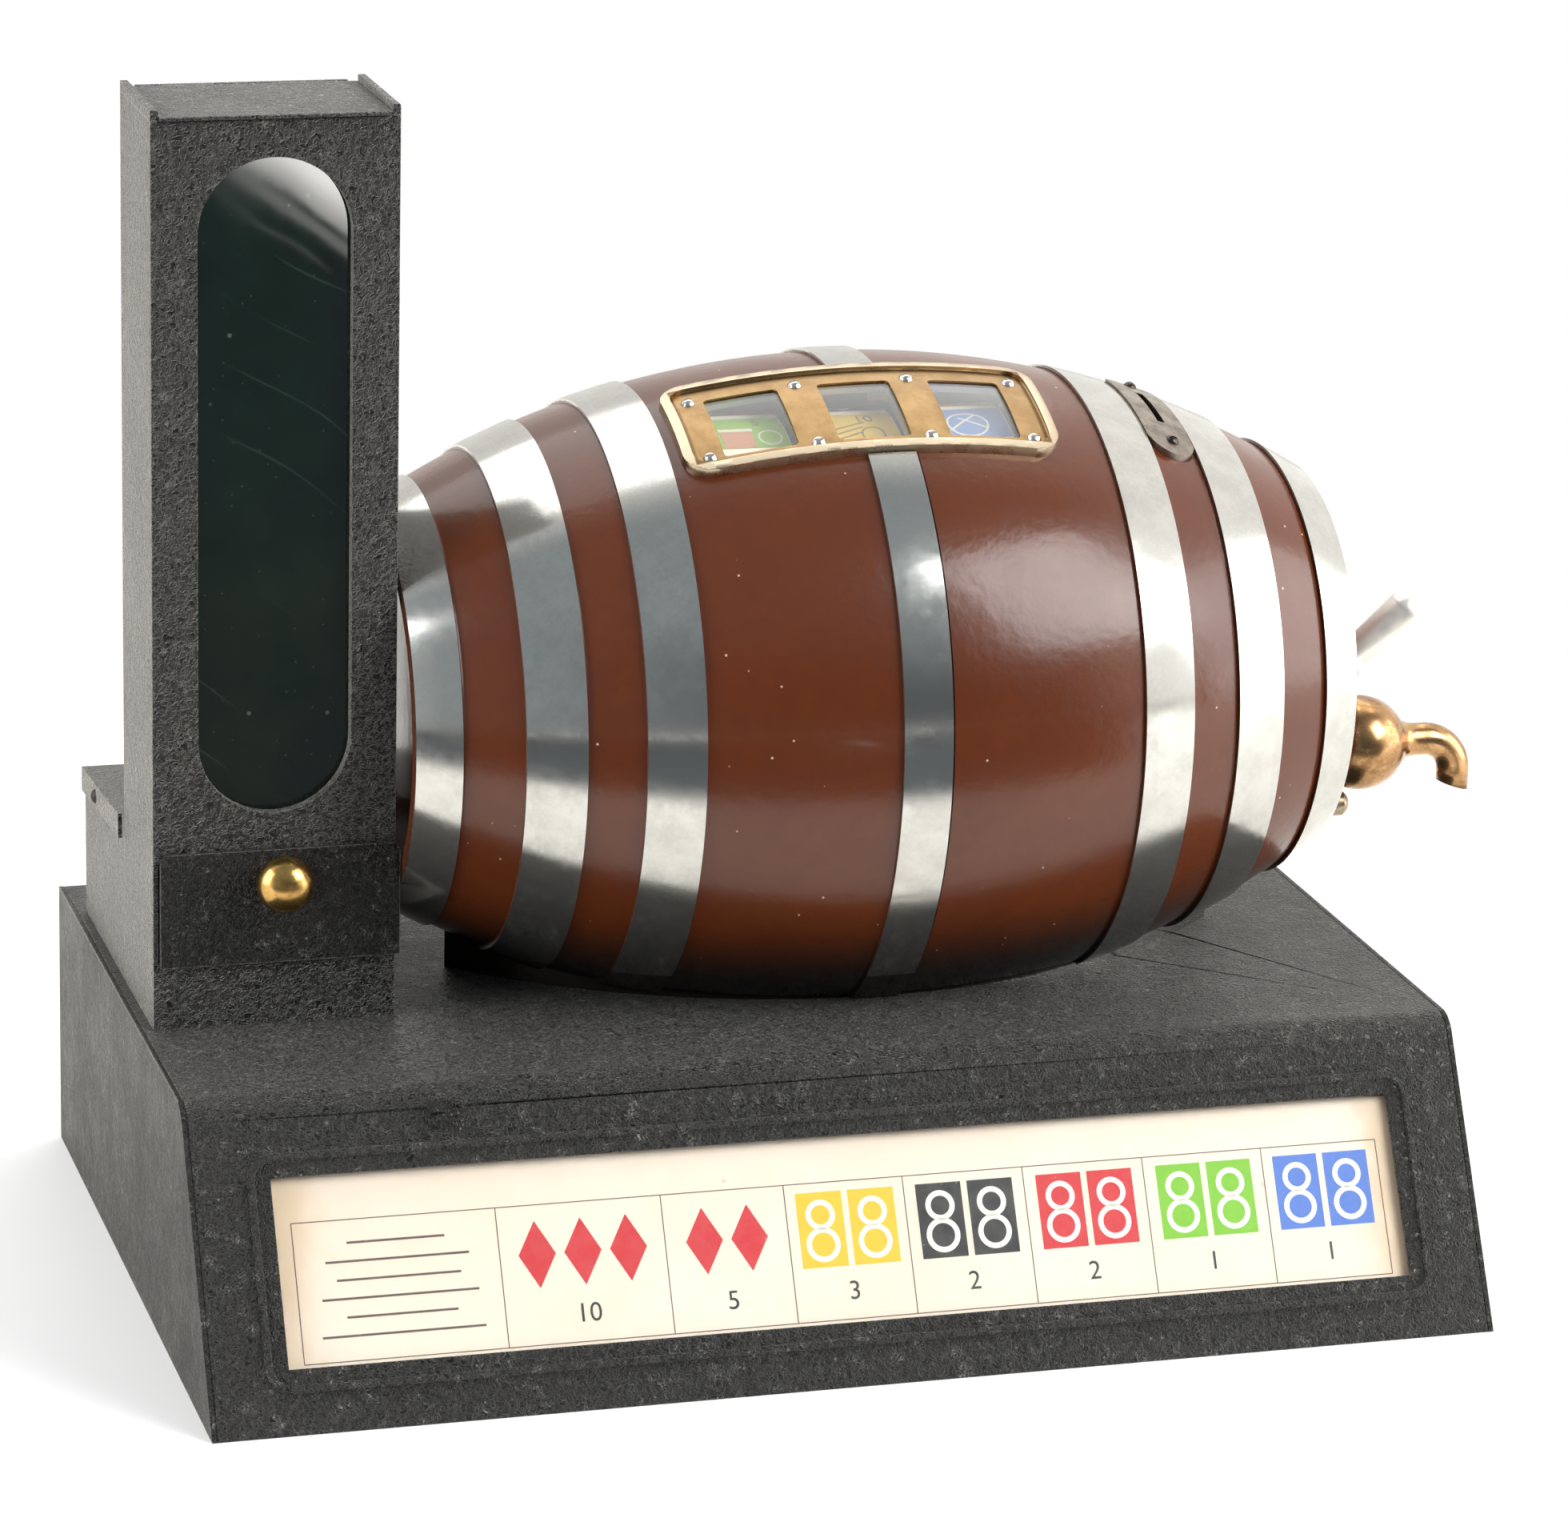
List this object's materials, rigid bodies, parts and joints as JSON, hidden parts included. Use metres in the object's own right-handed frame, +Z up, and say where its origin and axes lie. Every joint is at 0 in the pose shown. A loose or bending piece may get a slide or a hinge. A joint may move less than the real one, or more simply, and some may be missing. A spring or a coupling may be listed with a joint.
{
  "type": "trade stimulator",
  "caption": "Counter-top trade stimulator: a cast barrel with three spinning reels behind windows, a side lever and spigot, a vending tower with drawer, and a sloping base with an award card.",
  "frame": {"origin": "centre of the base's footprint on the surface it stands on", "axes": "+Z up, the front with the award card faces -Y, the lever is at +X"},
  "size_m": [0.4417, 0.2714, 0.375],
  "materials": {
    "black_wrinkle": "black wrinkle enamel over pressed steel, worn at the edges",
    "barrel_paint": "glossy brown enamel between polished bare aluminium hoops",
    "zinc_steel": "bare and zinc-plated steel",
    "screw_nickel": "nickel plate, slightly dulled",
    "plate_steel": "worn bare steel round the coin slot",
    "polished_aluminium": "polished cast aluminium",
    "bezel_brass": "polished brass, browned in the recess",
    "spigot_brass": "aged polished brass",
    "knob_brass": "polished brass",
    "works_brass": "plain brass of the works",
    "green_glass": "dark tinted glass",
    "clear_glass": "clear glass",
    "card_paper": "cream printed card",
    "strip_paper": "printed paper strip",
    "reel_aluminium": "spun aluminium",
    "box_enamel": "plain dark enamel"
  },
  "bodies": {
    "cabinet": {"base_cover": "black_wrinkle", "left_side_panel": "black_wrinkle", "right_side_panel": "black_wrinkle", "back_panel": "black_wrinkle", "floor_plate": "box_enamel", "award_card": "card_paper", "card_glass": "clear_glass", "card_clamps": "zinc_steel", "front_screw": "black_wrinkle", "base_bolts": "zinc_steel", "cash_box": "box_enamel", "cash_hinge_pin": "zinc_steel", "tower_shell": "black_wrinkle", "tower_back": "black_wrinkle", "tower_glass": "green_glass", "glass_retainers": "zinc_steel", "lid_hinge_pin": "zinc_steel", "rear_cover": "black_wrinkle", "rear_cover_screws": "screw_nickel", "slide_bed": "zinc_steel", "barrel_left": "barrel_paint", "barrel_right": "barrel_paint", "reel_bezel": "bezel_brass", "reel_window": "clear_glass", "barrel_screws": "screw_nickel", "coin_plate": "plate_steel", "spigot": "spigot_brass", "keg_plug": "spigot_brass", "return_spring": "zinc_steel", "coin_chute": "zinc_steel", "mech_plate_left": "zinc_steel", "mech_plate_right": "zinc_steel", "plate_rods": "zinc_steel", "reel_shaft": "zinc_steel", "dog_shaft": "zinc_steel"},
    "handle": {"handle_lever": "polished_aluminium", "handle_shaft": "zinc_steel", "kickers": "zinc_steel"},
    "drawer": {"dispenser_slide": "zinc_steel", "drawer_front": "black_wrinkle", "drawer_knob": "knob_brass", "knob_screw": "zinc_steel"},
    "lid": {"tower_lid": "black_wrinkle"},
    "door": {"cash_door": "black_wrinkle", "cash_lock_barrel": "works_brass"},
    "lock": {"cash_lock_plug": "works_brass", "cash_lock_cam": "zinc_steel"},
    "reel_1_group": {"reel_1": "reel_aluminium", "reel_strip_1": "strip_paper", "star_wheel_1": "works_brass"},
    "dog_1": {"index_dog_1": "zinc_steel"},
    "reel_2_group": {"reel_2": "reel_aluminium", "reel_strip_2": "strip_paper", "star_wheel_2": "works_brass"},
    "dog_2": {"index_dog_2": "zinc_steel"},
    "reel_3_group": {"reel_3": "reel_aluminium", "reel_strip_3": "strip_paper", "star_wheel_3": "works_brass"},
    "dog_3": {"index_dog_3": "zinc_steel"}
  },
  "joints": [
    {"name": "handle_pull", "type": "hinge", "parent": "cabinet", "child": "handle", "pos_m": [0.19, -0.002, 0.179], "axis": [1, 0, 0], "range_deg": [0, 55], "stiffness_Nm_per_rad": 0.2, "springref_deg": -22.92},
    {"name": "drawer_slide", "type": "slide", "parent": "cabinet", "child": "drawer", "axis": [0, -1, 0], "range_m": [0, 0.055]},
    {"name": "lid_hinge", "type": "hinge", "parent": "cabinet", "child": "lid", "pos_m": [-0.1607, 0.037, 0.3707], "axis": [-1, 0, 0], "range_deg": [0, 110]},
    {"name": "door_hinge", "type": "hinge", "parent": "cabinet", "child": "door", "pos_m": [0.088, 0.1361, 0.042], "axis": [0, 0, 1], "range_deg": [0, 105]},
    {"name": "lock_turn", "type": "hinge", "parent": "door", "child": "lock", "pos_m": [0.171, 0.128, 0.042], "axis": [0, 1, 0], "range_deg": [0, 90]},
    {"name": "reel_1_spin", "type": "hinge", "parent": "cabinet", "child": "reel_1_group", "pos_m": [-0.0108, 0.00726, 0.22586], "axis": [1, 0, 0], "continuous": true},
    {"name": "reel_2_spin", "type": "hinge", "parent": "cabinet", "child": "reel_2_group", "pos_m": [0.0252, 0.00726, 0.22586], "axis": [1, 0, 0], "continuous": true},
    {"name": "reel_3_spin", "type": "hinge", "parent": "cabinet", "child": "reel_3_group", "pos_m": [0.0612, 0.00726, 0.22586], "axis": [1, 0, 0], "continuous": true},
    {"name": "dog_1_lift", "type": "hinge", "parent": "cabinet", "child": "dog_1", "pos_m": [0.0072, 0.02746, 0.17836], "axis": [-1, 0, 0], "range_deg": [0, 8.1]},
    {"name": "dog_2_lift", "type": "hinge", "parent": "cabinet", "child": "dog_2", "pos_m": [0.0432, 0.02746, 0.17836], "axis": [-1, 0, 0], "range_deg": [0, 8.1]},
    {"name": "dog_3_lift", "type": "hinge", "parent": "cabinet", "child": "dog_3", "pos_m": [0.0792, 0.02746, 0.17836], "axis": [-1, 0, 0], "range_deg": [0, 8.1]}
  ],
  "couplings": [
    {"joint": "dog_1_lift", "follows": "handle_pull", "ratio": 0.14546},
    {"joint": "dog_2_lift", "follows": "handle_pull", "ratio": 0.14546},
    {"joint": "dog_3_lift", "follows": "handle_pull", "ratio": 0.14546}
  ]
}
